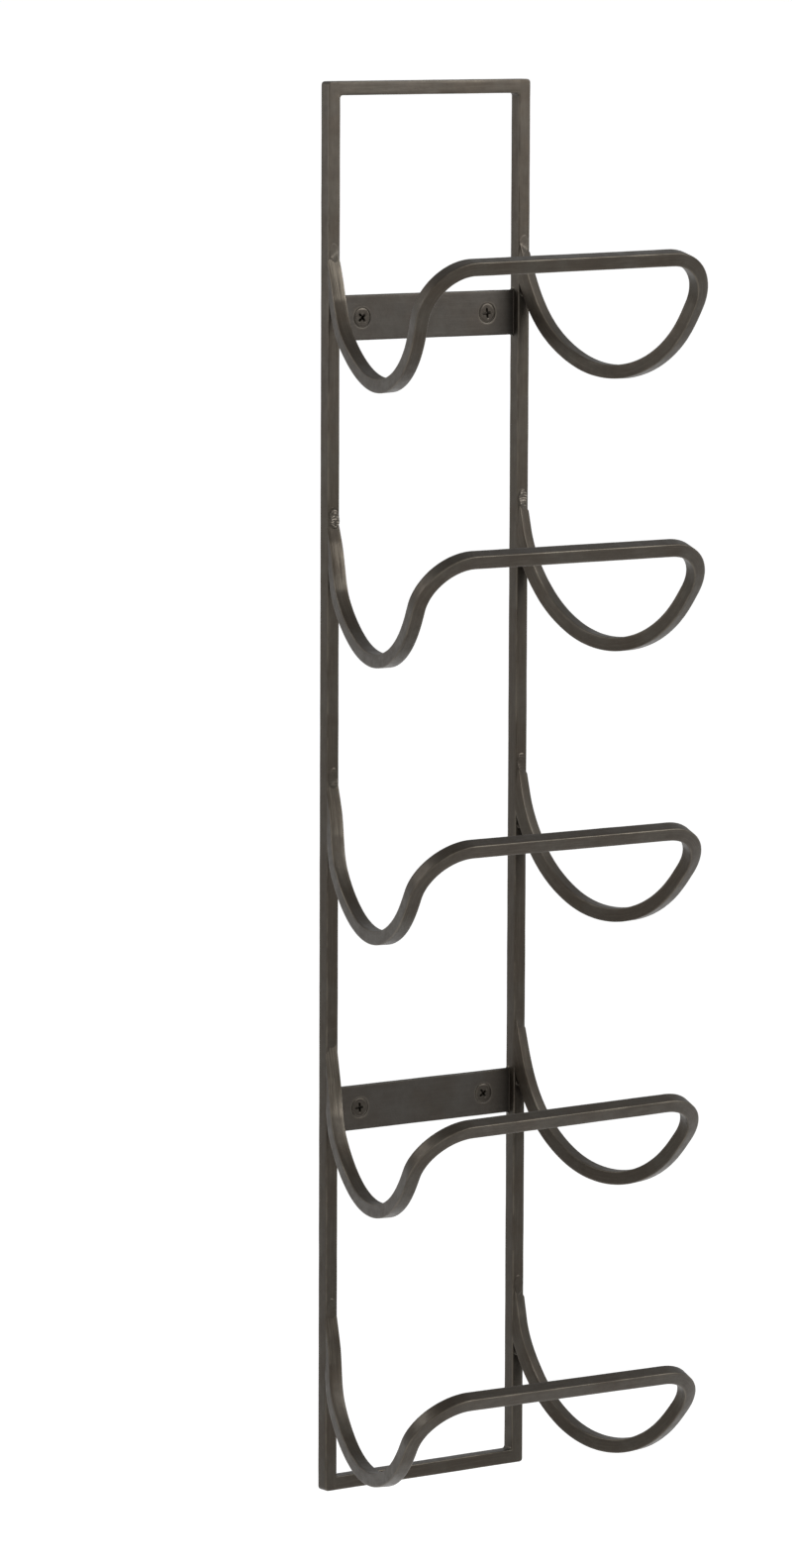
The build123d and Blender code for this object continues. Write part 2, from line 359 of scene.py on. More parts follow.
def make_piece(node, shell, roughened=True):
    """Turns a shell into the finished piece that stands for a CAD node."""
    mesh = bpy.data.meshes.new(node + "_finish")
    mesh.from_pydata(shell.points, [], shell.faces)
    store(mesh, "grain", "FLOAT_VECTOR", shell.grain)
    store(mesh, "wear_and_sheen", "FLOAT", shell.wear_and_sheen)
    store(mesh, "ground", "FLOAT", shell.ground)
    work = bmesh.new()
    work.from_mesh(mesh)
    bmesh.ops.recalc_face_normals(work, faces=work.faces)
    work.to_mesh(mesh)
    work.free()
    if roughened:
        roughen(mesh)
    mesh.shade_smooth()
    mesh.set_sharp_from_angle(angle=SHARP_ANGLE)
    piece = bpy.data.objects.new(node + "_finish", mesh)
    bpy.context.scene.collection.objects.link(piece)
    slot = SLOTS[node]
    mesh.materials.append(MATERIALS[slot])
    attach(piece, "root")
    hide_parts(node)
    return piece


# ---------------------------------------------------------------- frame bars


def levels(low, high, step, fine):
    """Heights along a bar, close together in its two rounded ends."""
    ends = [fine * (1 - sin(part * pi / 2 / END_RINGS)) for part in range(END_RINGS, -1, -1)]
    count = ceil((high - low - 2 * fine) / step)
    middle = np.linspace(low + fine, high - fine, count + 1)
    return [low + e for e in ends[:-1]] + list(middle) + [high - e for e in reversed(ends[:-1])]


def upright_section(side, height):
    """Upright's outline at a height: its outer corners and its end edges are rounded."""
    from_end = min(height - FOOT, TOP - height)
    thin = eased(from_end, EDGE)
    short = eased(from_end, FRAME_CORNER)
    low = -BAR / 2 + (short if side < 0 else 0.0)
    high = BAR / 2 - (short if side > 0 else 0.0)
    return rounded_section(low, high, -BAR / 2 + thin, BAR / 2 - thin, EDGE)


def upright(side):
    shell = Shell()
    rings = []
    for height in levels(FOOT, TOP, RING_STEP, FRAME_CORNER):
        section = upright_section(side, height)
        points = [(side * UPRIGHT_X + a, FACE_Y / 2 + b, height) for a, b in section]
        grains = [(a, b, height) for a, b in section]
        rings.append(shell.ring(points, grains, EDGE_WEAR_AND_SHEEN))
    shell.tube(rings)
    return shell


def cope(y, from_end):
    """How far past an upright's inner face a bar reaches to fill its rounded edge."""
    inside = BAR / 2 - eased(from_end, EDGE) - abs(y - FACE_Y / 2)
    return eased(inside, EDGE) + EMBED


def crossbar(node):
    low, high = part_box(node)
    middle = (low.z + high.z) / 2
    shell = Shell()
    rings = []
    count = ceil(2 * INNER_X / RING_STEP)
    for step in range(count + 1):
        along = 2 * step / count - 1
        points = []
        for a, b in BAR_SECTION:
            y, z = FACE_Y / 2 + a, middle + b
            reach = INNER_X + cope(y, min(z - FOOT, TOP - z))
            points.append((along * reach, y, z))
        grains = [(a, b, x) for (a, b), (x, _, _) in zip(BAR_SECTION, points)]
        rings.append(shell.ring(points, grains, EDGE_WEAR_AND_SHEEN))
    shell.tube(rings)
    return shell


# ---------------------------------------------------------------- bottle cradles


def arm_heading(angle, splay=ARM_SPLAY):
    """Direction in an arm's splayed plane at this turn from straight down."""
    forward = Vector((-sin(radians(splay)), -cos(radians(splay)), 0))
    return forward * sin(radians(angle)) - Vector((0, 0, cos(radians(angle))))


class Bender:
    """Walks the bar's centre line, carrying its heading and its sideways direction."""

    def __init__(self, place, heading, across):
        self.stations = [(place, heading, across)]

    def run(self, length):
        place, heading, across = self.stations[-1]
        steps = ceil(length / STATION)
        for step in range(1, steps + 1):
            self.stations.append((place + heading * (length * step / steps), heading, across))

    def turn(self, axis, radius, angle):
        place, heading, across = self.stations[-1]
        centre = place + axis.cross(heading) * radius
        steps = ceil(radius * angle / STATION)
        for step in range(1, steps + 1):
            spin = Matrix.Rotation(angle * step / steps, 3, axis)
            spot = centre + spin @ (place - centre)
            self.stations.append((spot, spin @ heading, spin @ across))

    def turn_towards(self, target, radius):
        heading = self.stations[-1][1]
        self.turn(heading.cross(target).normalized(), radius, heading.angle(target))


def bezier(corners, t):
    """Place and heading part of the way along a cubic Bezier curve."""
    s = 1 - t
    place = corners[0] * s**3 + corners[1] * 3 * s * s * t
    place = place + corners[2] * 3 * s * t * t + corners[3] * t**3
    first, second, third = [b - a for a, b in zip(corners[:-1], corners[1:])]
    heading = (first * s * s + second * 2 * s * t + third * t * t).normalized()
    return place, heading


def joint_blend(joint, top_heading, merge, merge_heading, across):
    """Stations from an arm's joint into its first bend, the section carried untwisted."""
    ease = (merge - joint).length / 3
    corners = [joint, joint + top_heading * ease, merge - merge_heading * ease, merge]
    steps = ceil((merge - joint).length / STATION)
    stations = [(merge, merge_heading, across)]
    for step in range(steps - 1, -1, -1):
        place, heading = bezier(corners, step / steps)
        _, last_heading, across = stations[-1]
        stations.append((place, heading, last_heading.rotation_difference(heading) @ across))
    return stations[::-1]


def half_bar(rise, top_lean):
    """Stations from above the left mitre, round the U and the corner, to mid rail."""
    normal = arm_heading(0).cross(arm_heading(90))
    start = Vector((-ARM_SPREAD / 2, 0, 0)) + arm_heading(90) * ARM_START_OFFSET
    bender = Bender(start, arm_heading(ARM_START_LEAN), normal)
    bender.run(ARM_START_RUN)
    bender.turn(normal, ARM_BENDS[0][0], radians(ARM_MERGE_LEAN - ARM_START_LEAN))
    merge, merge_heading, _ = bender.stations[-1]
    joint = Vector((-UPRIGHT_X, 0, rise))
    top_heading = arm_heading(top_lean, 0)
    blend = joint_blend(joint, top_heading, merge, merge_heading, normal)
    across = blend[0][2]
    bender = Bender(joint - top_heading * ARM_TOP_RUN, top_heading, across)
    bender.run(ARM_TOP_RUN)
    bender.stations += blend[1:]
    angle = ARM_MERGE_LEAN
    for radius, next_angle in ARM_BENDS:
        bender.turn(normal, radius, radians(next_angle - angle))
        angle = next_angle
    bender.run(ARM_END_RUN)
    bender.turn_towards(Vector((1, 0, 0)), CORNER_BEND_RADIUS)
    bender.run(-bender.stations[-1][0].x)
    return bender.stations


def half_lines(stations):
    """Half a bar's long lines, one for each section point: an array (station, line, xyz)."""
    rings = []
    for place, heading, across in stations:
        through = heading.cross(across)
        rings.append([place + across * a + through * b for a, b in BAR_SECTION])
    return np.array(rings)


def bar_lines(node):
    """A cradle's long lines from end to end, and how far along the bar each station is."""
    lean = CRADLE_SEATS[node][1]
    left, right = [half_lines(half_bar(rise, tilt - lean)) for rise, tilt in ARM_JOINTS[node]]
    lines = np.concatenate([left, right[-2::-1] * (-1, 1, 1)])
    steps = np.linalg.norm(np.diff(lines.mean(axis=1), axis=0), axis=1)
    return lines, np.concatenate([[0.0], np.cumsum(steps)])


def seated(lines, seat):
    """The long lines where the cradle is welded."""
    height, lean, right_end_up = seat
    turn = Matrix.Rotation(radians(-right_end_up), 3, "Y") @ Matrix.Rotation(radians(-lean), 3, "X")
    return lines @ np.array(turn).T + (0, FACE_Y, FOOT + height)


def crossing(line, lengths):
    """Where a long line first comes out of the uprights' front plane."""
    plane = FACE_Y + EMBED
    first = int(np.argmax(line[:, 1] < plane))
    before, after = line[first - 1, 1], line[first, 1]
    part = (before - plane) / (before - after)
    return lengths[first - 1] + part * (lengths[first] - lengths[first - 1])


def ground_at(from_tip, patch, place):
    """How bright the grinder left a point of an arm's front, this far below its tip."""
    start, end, strength = patch
    inside = min(from_tip - start, end - from_tip) / PATCH_EDGE + 0.5
    blotch = 0.8 + 0.5 * noise.noise(place * PATCH_BLOTCH_RATE)
    return strength * max(0.0, min(1.0, inside)) * max(0.0, min(1.0, blotch))


def cradle_stations(starts, ends):
    """How far along each long line every ring lies: slanted at the mitres, square between."""
    first = max(starts) + MITRE_LENGTH
    last = min(ends) - MITRE_LENGTH
    count = ceil((last - first) / RING_STEP)
    parts = [k / MITRE_RINGS for k in range(MITRE_RINGS)]
    stations = [[s + (first - s) * part for s in starts] for part in parts]
    stations += [[s] * SECTION for s in np.linspace(first, last, count + 1)]
    return stations + [[s + (last - s) * part for s in ends] for part in reversed(parts)]


def cradle(node):
    """The bent bar with mitred ends; gives its shell and its mitres' outlines."""
    lines, lengths = bar_lines(node)
    placed = seated(lines, CRADLE_SEATS[node])
    total = lengths[-1]
    starts = [crossing(placed[:, j], lengths) for j in range(SECTION)]
    ends = [total - crossing(placed[::-1, j], total - lengths[::-1]) for j in range(SECTION)]
    shell = Shell()
    rings = []
    for along in cradle_stations(starts, ends):
        points, grains, grounds = [], [], []
        for j, s in enumerate(along):
            point = [np.interp(s, lengths, placed[:, j, axis]) for axis in range(3)]
            a, b = BAR_SECTION[j]
            points.append(point)
            grains.append((a, b, s))
            side = 0 if s < total / 2 else 1
            from_tip = s - min(starts) if side == 0 else max(ends) - s
            patch = GROUND_PATCHES[node][side]
            grounds.append(ground_at(from_tip, patch, Vector(point)) if j in FRONT_LINES else 0.0)
        rings.append(shell.ring(points, grains, EDGE_WEAR_AND_SHEEN, grounds))
    shell.tube(rings)
    left = np.array([shell.points[i] for i in rings[0]])
    right = np.array([shell.points[i] for i in rings[-1]])
    return shell, {-1: left, 1: right}


# ---------------------------------------------------------------- welds


def height_field(tree, x, z):
    """How far the metal stands out from the uprights' front plane at a place."""
    hit, _, _, _ = tree.ray_cast(Vector((x, FACE_Y - RAY_START, z)), Vector((0, 1, 0)))
    if hit is None or hit.y > FACE_Y + GAP_DEPTH:
        return -GAP_DEPTH
    return FACE_Y - hit.y


def smoothed(heights, rounds):
    """Evens out a grid of heights along its second axis."""
    result = heights.copy()
    for _ in range(rounds):
        result[:, 1:-1] = (result[:, :-2] + 2 * result[:, 1:-1] + result[:, 2:]) / 4
    return result


def toe_share(x, z, seed):
    """How much of the toe bead stands at a place: all in its middle, none round its rim."""
    centre = (TOE_ABOVE - TOE_BELOW) / 2
    rate, height = TOE_RIM_WAVE
    wander = height * noise.noise(Vector((x, z, seed)) * rate)
    far = (x / (BAR / 2)) ** 2 + ((z - centre) / (TOE_ABOVE - centre)) ** 2
    share = max(0.0, min(1.0, (1 - far * (1 + wander)) * TOE_STEEPNESS))
    return share * share * (3 - 2 * share)


def toe_swell(x, z, seed, rippled):
    """The toe bead's height at a place against its full height: ripples and lumps."""
    spot = Vector((x, z, seed))
    bowed = z + TOE_RIPPLE_BOW * x * x / MM + wave(TOE_RIPPLE_WAVE, spot)
    ripple = TOE_RIPPLE_HEIGHT * rippled * (1 - sin(bowed * tau / WELD_RIPPLE))
    return 1 - ripple + rippled * wave(TOE_LUMP_WAVE, spot)


def toe_bead(shell, tree, side, tip, proud, rippled, seed):
    """Weld run over a mitre's tip: it follows both bars and fills the crease between."""
    columns, rows = TOE_GRID
    edge = BAR / 2 - TOE_SIDE_MARGIN
    xs = np.linspace(-edge, edge, columns)
    zs = np.linspace(-TOE_BELOW, TOE_ABOVE, rows)
    base = [[height_field(tree, side * UPRIGHT_X + x, tip + z) for z in zs] for x in xs]
    base = np.array(base)
    filled = np.maximum(base, smoothed(base, CREASE_ROUNDS))
    top, under = {}, {}
    for i, x in enumerate(xs):
        for j, z in enumerate(zs):
            share = toe_share(x, z, seed)
            swell = toe_swell(x, z, seed, rippled)
            height = base[i, j] + share * (filled[i, j] - base[i, j] + proud * swell)
            height -= EMBED * (1 - share) * TOE_RIM_SINK
            place = (side * UPRIGHT_X + x, FACE_Y - height, tip + z)
            # Painted highlight: the ripples' crests get the lighter worn colour, and the more
            # rippled the bead, the more of the bright ground colour it gets
            crest_highlight = min(1.0, share * rippled * max(0.0, swell - 0.75))
            top[i, j] = shell.add(place, (x, z, seed), crest_highlight, 0.3 * share * rippled)
            deep = (place[0], FACE_Y - base[i, j] + TOE_DEPTH, place[2])
            under[i, j] = shell.add(deep, (x, z, seed))
    close_grid(shell, top, under, columns, rows)


def close_grid(shell, top, under, columns, rows):
    """Faces of a slab whose two sides are grids of the same size."""
    for i in range(columns - 1):
        for j in range(rows - 1):
            corners = [(i, j), (i + 1, j), (i + 1, j + 1), (i, j + 1)]
            shell.faces.append([top[c] for c in corners])
            shell.faces.append([under[c] for c in reversed(corners)])
    rim = [(i, 0) for i in range(columns)] + [(columns - 1, j) for j in range(1, rows)]
    rim += [(i, rows - 1) for i in range(columns - 2, -1, -1)]
    rim += [(0, j) for j in range(rows - 2, 0, -1)]
    shell.join([under[c] for c in rim], [top[c] for c in rim])


def heel_bead(shell, side, crook, seed):
    """Short rippled worm of weld metal in the crook behind an arm."""
    middle = Vector((side * UPRIGHT_X, FACE_Y - HEEL_INSET, crook - HEEL_DROP))
    rings = []
    for step in range(1, HEEL_RINGS):
        along = -cos(pi * step / HEEL_RINGS)
        ripple = 1 + 0.10 * sin(along * HEEL_HALF_WIDTH * tau / HEEL_RIPPLE)
        radius = HEEL_RADIUS * (1 - along**4) ** 0.5 * ripple
        wander = HEEL_WANDER * noise.noise(Vector((along * 2, seed, 0)))
        centre = middle + Vector((along * HEEL_HALF_WIDTH, 0, wander))
        ring = []
        for k in range(HEEL_SIDES):
            angle = tau * k / HEEL_SIDES
            ring.append(centre + Vector((0, cos(angle), sin(angle) * HEEL_TALLNESS)) * radius)
        rings.append(shell.ring(ring, [(p.x, p.z, seed) for p in ring], [0.1] * HEEL_SIDES))
    shell.spindle(rings)


def cradle_welds(node, mitres, trees):
    """The toe and heel weld of both of a cradle's joints."""
    shell = Shell()
    number = int(node[-1])
    for side, (proud, rippled) in zip((-1, 1), TOE_WELDS[node]):
        outline = mitres[side]
        seed = number + side * 0.3
        toe_bead(shell, trees[side], side, outline[:, 2].max(), proud, rippled, seed)
        heel_bead(shell, side, outline[:, 2].min(), seed)
    return shell


def seam_section(size, ripple_at, leg_a, leg_b, hollow, rippled):
    """Outline of a bead across its run: its root, then its face from one leg to the other."""
    points = [-leg_a * SEAM_ROOT - leg_b * SEAM_ROOT]
    outward = (leg_a + leg_b).normalized()
    for k in range(SEAM_SIDES):
        part = k / (SEAM_SIDES - 1)
        bow = sin(pi * part)
        phase = (ripple_at + SEAM_RIPPLE_BOW * bow) * tau / WELD_RIPPLE
        sag = -hollow * size * bow + SEAM_RIPPLE * rippled * bow * sin(phase)
        reach = leg_a * (size * (1 - part)) + leg_b * (size * part)
        tuck = (leg_a * part + leg_b * (1 - part)) * SEAM_TUCK
        points.append(reach + outward * sag - tuck)
    return points


def seam_bead(shell, start, end, legs, leg, seed, hollow=0.29, rippled=1.0):
    """Bead laid in an inside corner from start to end, between two faces."""
    start, end, leg_a, leg_b = (Vector(v) for v in (start, end, *legs))
    length = (end - start).length
    count = max(8, ceil(length / SEAM_STEP))
    wear_and_sheen_values = [0.0] + [0.15 * sin(pi * k / (SEAM_SIDES - 1)) for k in range(SEAM_SIDES)]
    rate, height = SEAM_WAVE
    rings = []
    for step in range(count + 1):
        along = step / count
        from_end = min(along, 1 - along) * length
        size = leg * (1 - SEAM_END_THINNING * max(0.0, 1 - from_end / SEAM_END) ** 2)
        size *= 1 + height * rippled * noise.noise(Vector((along * length * rate, seed, 1)))
        spot = start + (end - start) * along
        section = seam_section(size, along * length, leg_a, leg_b, hollow, rippled)
        ring = [spot + point for point in section]
        rings.append(shell.ring(ring, [(p.x, p.z, p.y + seed) for p in ring], wear_and_sheen_values))
    shell.spindle(rings)


def frame_welds():
    """One bead in each inside corner of the frame, ground flush at front and back."""
    shell = Shell()
    for side in (-1, 1):
        for height, up in ((FOOT + BAR, 1), (TOP - BAR, -1)):
            start = (side * INNER_X, FACE_Y + CORNER_WELD_INSET, height)
            end = (side * INNER_X, -CORNER_WELD_INSET, height)
            legs = ((-side, 0, 0), (0, 0, up))
            seam_bead(shell, start, end, legs, CORNER_WELD_LEG, side + height, rippled=0.4)
    return shell


def plate_welds(level):
    """Beads round both ends of a plate: across its front, over its top, under its foot."""
    low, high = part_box(level + "_wall_plate")
    shell = Shell()
    for side in (-1, 1):
        x = side * INNER_X
        away = (-side, 0, 0)
        start, end = (x, low.y, low.z), (x, low.y, high.z)
        seam_bead(shell, start, end, (away, (0, -1, 0)), PLATE_FRONT_WELD_LEG, side + 2.0, 0.45)
        for z, out in ((high.z, 1), (low.z, -1)):
            start, end = (x, low.y, z), (x, -EDGE, z)
            seam_bead(shell, start, end, (away, (0, 0, out)), PLATE_WELD_LEG, side + out * 0.2)
    return shell


# ---------------------------------------------------------------- wall plates


def square_rim(side_count, half):
    """Points round a square about the origin, side_count to a side, counterclockwise."""
    ticks = np.linspace(-half, half, side_count + 1)[:-1]
    rim = [(half, t) for t in ticks] + [(-t, half) for t in ticks]
    return rim + [(-half, -t) for t in ticks] + [(t, -half) for t in ticks]


def wall_plate(level):
    """Rolled strip with two countersunk holes and softly broken edges."""
    low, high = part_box(level + "_wall_plate")
    _, screw_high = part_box(level + "_wall_screws")
    screw_x = screw_high.x - SCREW_HEAD_RADIUS
    middle = (low.z + high.z) / 2
    half_height = (high.z - low.z) / 2
    shell = Shell()
    xs = plate_ticks(INNER_X, screw_x)
    zs = plate_levels(half_height - PLATE_BROKEN_EDGE)
    faces = {y: plate_face(shell, xs, zs, screw_x, middle, y) for y in (low.y, high.y)}
    for centre in (-screw_x, screw_x):
        plate_hole(shell, faces, xs, zs, centre, middle, low.y, high.y)
    plate_rim(shell, faces, xs, zs, middle, low.y, high.y)
    return shell


def plate_face(shell, xs, zs, screw_x, middle, y):
    """One broad face of a plate, gridded, with a square gap left for each screw hole."""
    grid = {}
    for i, x in enumerate(xs):
        for j, z in enumerate(zs):
            if not in_cell(x, z, screw_x):
                grid[i, j] = shell.add((x, y, middle + z), (z, y, x))
    for i in range(len(xs) - 1):
        for j in range(len(zs) - 1):
            corners = [(i, j), (i + 1, j), (i + 1, j + 1), (i, j + 1)]
            mid_x, mid_z = (xs[i] + xs[i + 1]) / 2, (zs[j] + zs[j + 1]) / 2
            if all(c in grid for c in corners) and not in_cell(mid_x, mid_z, screw_x):
                shell.faces.append([grid[c] for c in corners])
    return grid


def plate_ticks(end, screw_x):
    """Places along the plate where its grid is divided, square round each screw."""
    stops = [(-screw_x - HOLE_CELL, PLATE_END_PARTS), (-screw_x + HOLE_CELL, HOLE_CELL_PARTS)]
    stops += [(screw_x - HOLE_CELL, PLATE_MIDDLE_PARTS), (screw_x + HOLE_CELL, HOLE_CELL_PARTS)]
    stops += [(end, PLATE_END_PARTS)]
    ticks = [-end]
    for stop, count in stops:
        ticks += list(np.linspace(ticks[-1], stop, count + 1)[1:])
    return np.array(ticks)


def plate_levels(top):
    """Heights about the plate's middle where its grid is divided."""
    outer = np.linspace(HOLE_CELL, top, 4)
    inner = np.linspace(-HOLE_CELL, HOLE_CELL, HOLE_CELL_PARTS + 1)[1:-1]
    return np.concatenate([-outer[::-1], inner, outer])


def in_cell(x, z, screw_x):
    """Whether a place lies inside the square kept for one screw hole."""
    reach = HOLE_CELL - 0.01 * MM
    return abs(abs(x) - screw_x) < reach and abs(z) < reach


def hole_profile(front, back):
    """The countersunk hole's wall from front to back: (y, radius)."""
    mouth = SCREW_HEAD_RADIUS + HEAD_CLEARANCE
    seat = SCREW_HEAD_RADIUS + SEAT_CLEARANCE
    bore = SCREW_SHANK_RADIUS + HOLE_CLEARANCE
    return [
        (front, mouth + 0.5 * MM),
        (front, mouth + 0.08 * MM),
        (front + 0.06 * MM, mouth),
        (front + HEAD_RIM, mouth),
        (front + HEAD_RIM, seat),
        (front + HEAD_RIM + seat - bore, bore),
        (back - 0.1 * MM, bore),
        (back, bore + 0.1 * MM),
    ]


def plate_hole(shell, faces, xs, zs, centre, middle, front, back):
    """A countersunk hole, joined to the square gap left for it in both faces."""
    rim = square_rim(HOLE_CELL_PARTS, HOLE_CELL)
    columns = [int(np.argmin(abs(xs - (centre + x)))) for x, _ in rim]
    rows = [int(np.argmin(abs(zs - z))) for _, z in rim]
    profile = hole_profile(front, back)
    blends = [(front, profile[0][1], 0.33), (front, profile[0][1], 0.67)]
    blends += [(y, radius, 1.0) for y, radius in profile]
    blends.append((back, profile[-1][1], 0.5))
    rings = [[faces[front][cell] for cell in zip(columns, rows)]]
    rings += [square_to_round(shell, rim, centre, middle, *blend) for blend in blends]
    rings.append([faces[back][cell] for cell in zip(columns, rows)])
    shell.sleeve(rings)


def square_to_round(shell, rim, centre, middle, y, radius, part):
    """A ring between the square round a hole, part 0, and the hole's circle, part 1."""
    ring = []
    for k, (x, z) in enumerate(rim):
        angle = -pi / 4 + tau * k / len(rim)
        px = x + (radius * cos(angle) - x) * part
        pz = z + (radius * sin(angle) - z) * part
        worn_and_sheen = 0.6 if part == 1.0 and y < FACE_Y / 4 else 0.0
        ring.append(shell.add((centre + px, y, middle + pz), (pz, y, centre + px), worn_and_sheen))
    return ring


def plate_rim(shell, faces, xs, zs, middle, front, back):
    """The plate's four narrow sides, with broken edges and ends that fill the uprights."""
    last_i, last_j = len(xs) - 1, len(zs) - 1
    rim = [(i, 0) for i in range(last_i)] + [(last_i, j) for j in range(last_j)]
    rim += [(i, last_j) for i in range(last_i, 0, -1)] + [(0, j) for j in range(last_j, 0, -1)]
    steps = [(0.3, 0.05), (0.7, 0.3), (1.0, 1.0)]
    depths = [(front + PLATE_BROKEN_EDGE * depth, part) for part, depth in steps]
    depths += [(back - PLATE_BROKEN_EDGE * depth, part) for part, depth in reversed(steps)]
    rings = [[faces[front][cell] for cell in rim]]
    for y, part in depths:
        worn_and_sheen = 0.8 * part if part < 1 else 0.2
        ring = []
        for i, j in rim:
            x, z = xs[i], zs[j]
            if j in (0, last_j):
                z += PLATE_BROKEN_EDGE * part * (1 if j else -1)
            if i in (0, last_i):
                x += (EMBED + eased(-y, EDGE)) * (1 if i else -1)
            ring.append(shell.add((x, y, middle + z), (z, y, x), worn_and_sheen))
        rings.append(ring)
    rings.append([faces[back][cell] for cell in rim])
    shell.sleeve(rings)


# ---------------------------------------------------------------- screws


def turned(points, angle):
    """Flat points turned about the origin."""
    return [(a * cos(angle) - b * sin(angle), a * sin(angle) + b * cos(angle)) for a, b in points]


def cross_outline(radius, slot):
    """Outline of a cross recess, eight points to an arm, from mid corner."""
    shoulder = sqrt(radius**2 - slot**2)
    near = slot + (shoulder - slot) * 0.35
    far = slot + (shoulder - slot) * 0.75
    edge = [(slot, -slot), (near, -slot), (far, -slot), (shoulder, -slot * 0.85)]
    arm = edge + [(radius, 0.0)] + [(a, -b) for a, b in edge[:0:-1]]
    return [point for quarter in range(4) for point in turned(arm, quarter * pi / 2)]


def circle_outline(radius):
    angles = [-pi / 4 + tau * k / SCREW_SIDES for k in range(SCREW_SIDES)]
    return [(radius * cos(angle), radius * sin(angle)) for angle in angles]


def thread_radius(depth, angle):
    """Radius of the threaded shank at this depth below the head and this turn."""
    core = SCREW_SHANK_RADIUS - THREAD_DEPTH
    turn = (depth / THREAD_PITCH + angle / tau) % 1.0
    flank = min(turn, 1 - turn) * 2
    crest_highlight = max(0.0, 1 - flank / 0.55)
    grown = min(1.0, (depth - SCREW_PLAIN_LENGTH) / (2 * THREAD_PITCH))
    tip = SCREW_LENGTH - depth
    taper = min(1.0, max(0.0, tip / SCREW_TIP_LENGTH)) ** 0.8
    full = SCREW_SHANK_RADIUS + (core - SCREW_SHANK_RADIUS) * grown
    return max(0.08 * MM, (full + (SCREW_SHANK_RADIUS - full) * min(1.0, crest_highlight * 1.25)) * taper)


def wall_screws(level):
    """The two countersunk wood screws of one plate, as they were driven."""
    low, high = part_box(level + "_wall_screws")
    plate_low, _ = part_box(level + "_wall_plate")
    middle = (low.z + high.z) / 2
    shell = Shell()
    centres = (low.x + SCREW_HEAD_RADIUS, high.x - SCREW_HEAD_RADIUS)
    for centre, turn in zip(centres, RECESS_TURNS[level]):
        one_screw(shell, Vector((centre, plate_low.y, middle)), radians(turn))
    return shell


def head_outlines():
    """Outlines down a screw's recess and out over its face: (outline, depth, wear)."""
    slot = RECESS_SLOT / 2
    rim = circle_outline(SCREW_HEAD_RADIUS - RIM_INSET)
    outlines = [
        (cross_outline(RECESS_RADIUS * 0.42, slot * 0.55), RECESS_DEPTH, 0.0),
        (cross_outline(RECESS_RADIUS * 0.75, slot * 0.8), RECESS_DEPTH * 0.5, 0.0),
        (cross_outline(RECESS_RADIUS * 0.97, slot * 0.97), 0.06 * MM, 0.7),
        (cross_outline(RECESS_RADIUS * 1.02, slot * 1.06), 0.0, 0.4),
    ]
    cross = cross_outline(RECESS_RADIUS, slot)
    for part in (0.35, 0.7):
        ring = [(a + (c - a) * part, b + (d - b) * part) for (a, b), (c, d) in zip(cross, rim)]
        outlines.append((ring, 0.0, 0.1))
    return outlines + [(rim, 0.0, 0.6)]


def body_outlines():
    """Outlines from a screw's edge down its neck and thread to the tip."""
    neck = HEAD_RIM + SCREW_HEAD_RADIUS - SCREW_NECK_RADIUS
    rounds = [
        (SCREW_HEAD_RADIUS, 0.10 * MM, 0.8),
        (SCREW_HEAD_RADIUS, HEAD_RIM, 0.2),
        (SCREW_NECK_RADIUS, neck, 0.0),
        (SCREW_NECK_RADIUS, NECK_END, 0.0),
        (SCREW_SHANK_RADIUS, SHANK_START, 0.0),
    ]
    for depth in np.linspace(SHANK_START, SCREW_PLAIN_LENGTH, 6)[1:]:
        rounds.append((SCREW_SHANK_RADIUS, depth, 0.0))
    outlines = [(circle_outline(radius), depth, worn_and_sheen) for radius, depth, worn_and_sheen in rounds]
    rows = ceil((SCREW_LENGTH - SCREW_PLAIN_LENGTH) / (THREAD_PITCH / THREAD_ROWS))
    for depth in np.linspace(SCREW_PLAIN_LENGTH, SCREW_LENGTH, rows + 1)[1:]:
        radii = [thread_radius(depth, tau * k / SCREW_SIDES) for k in range(SCREW_SIDES)]
        ring = [(x * r, y * r) for (x, y), r in zip(circle_outline(1.0), radii)]
        outlines.append((ring, depth, 0.35))
    return outlines


def one_screw(shell, head, turn):
    """One screw, from the bottom of its recess out over the head and down to the tip."""
    rings = []
    for outline, depth, worn_and_sheen in head_outlines() + body_outlines():
        points = [head + Vector((x, depth, z)) for x, z in turned(outline, turn)]
        rings.append(shell.ring(points, [(p.x, p.z, p.y) for p in points], [worn_and_sheen] * SCREW_SIDES))
    shell.spindle(rings)


# ---------------------------------------------------------------- materials

BROWN = (0.035, 0.027, 0.019)
GREY = (0.043, 0.037, 0.029)
# Lighter colours for rubbed wear and for painted highlights on edges and weld crests
WORN_AND_SHEEN = (0.130, 0.113, 0.090)
WELD_WORN_AND_SHEEN = (0.20, 0.18, 0.155)
PLATE_BROWN = (0.039, 0.0325, 0.026)
PLATE_GREY = (0.045, 0.0405, 0.035)
WELD_BROWN = (0.038, 0.030, 0.022)
WELD_GREY = (0.050, 0.044, 0.035)
SCREW_BROWN = (0.032, 0.026, 0.020)

